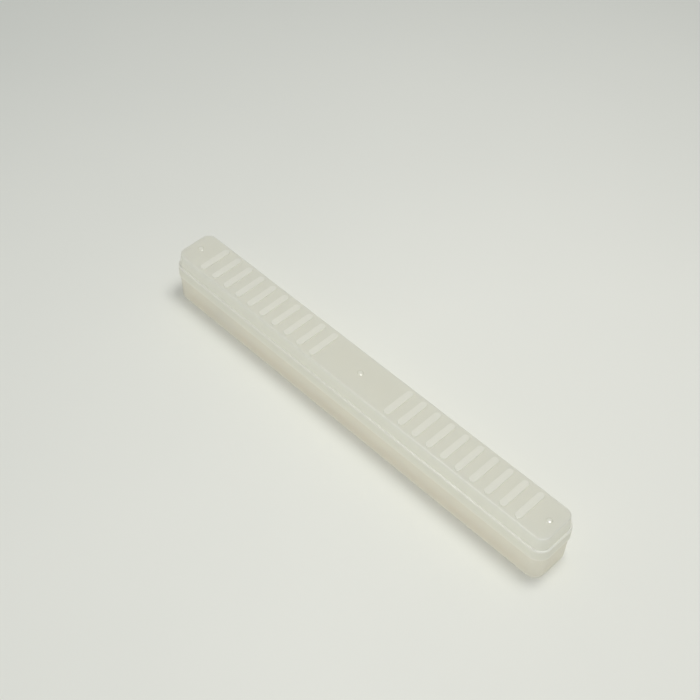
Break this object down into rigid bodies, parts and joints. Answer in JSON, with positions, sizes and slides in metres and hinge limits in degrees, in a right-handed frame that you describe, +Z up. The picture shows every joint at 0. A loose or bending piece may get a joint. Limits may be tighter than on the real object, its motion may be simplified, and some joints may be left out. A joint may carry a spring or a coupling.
{
  "type": "slide rule in a case",
  "caption": "Simplex slide rule with a tongue and a cursor, inside a long translucent moulded case with a ribbed lift-off lid.",
  "frame": {"origin": "middle of the underside of the case, the centre of the bottom of the bounding box", "axes": "+X along the rule and the case, +Y across them, +Z up out of the lid"},
  "size_m": [0.32, 0.033, 0.039],
  "materials": {
    "case_plastic": "milky translucent moulded plastic",
    "bamboo": "oiled straight grain",
    "ivory_plastic": "satin with engraved scales",
    "clear_plastic": "clear",
    "aluminium": "rolled",
    "brass": "filed flush",
    "plated_metal": "satin plated",
    "screw_steel": "turned",
    "spring_steel": "rolled"
  },
  "bodies": {
    "case": {"case_base": "case_plastic"},
    "lid": {"case_lid": "case_plastic"},
    "stock": {"upper_rail": "bamboo", "lower_rail": "bamboo", "back_plate": "aluminium", "back_pins": "brass", "back_cover": "ivory_plastic", "left_index_window": "clear_plastic", "right_index_window": "clear_plastic", "upper_facing": "ivory_plastic", "lower_facing": "ivory_plastic", "edge_scale": "ivory_plastic", "facing_pins": "brass"},
    "tongue": {"tongue_core": "bamboo", "tongue_front_facing": "ivory_plastic", "tongue_back_facing": "ivory_plastic", "tongue_pins": "brass"},
    "cursor": {"cursor_upper_bar": "plated_metal", "cursor_lower_bar": "plated_metal", "cursor_window": "clear_plastic", "cursor_screws": "screw_steel", "cursor_spring": "spring_steel"}
  },
  "joints": [
    {"name": "lid_lift", "type": "slide", "parent": "case", "child": "lid", "axis": [0, 0, 1], "range_m": [0, 0.15]},
    {"name": "rule_lift", "type": "slide", "parent": "case", "child": "stock", "axis": [0, 0, 1], "range_m": [0, 0.1]},
    {"name": "tongue_slide", "type": "slide", "parent": "stock", "child": "tongue", "axis": [1, 0, 0], "range_m": [-0.25, 0.25]},
    {"name": "cursor_slide", "type": "slide", "parent": "stock", "child": "cursor", "axis": [1, 0, 0], "range_m": [-0.023, 0.247]}
  ],
  "couplings": [
    {"joint": "rule_lift", "follows": "lid_lift", "ratio": 0.65},
    {"joint": "tongue_slide", "follows": "lid_lift", "ratio": 0.25}
  ]
}
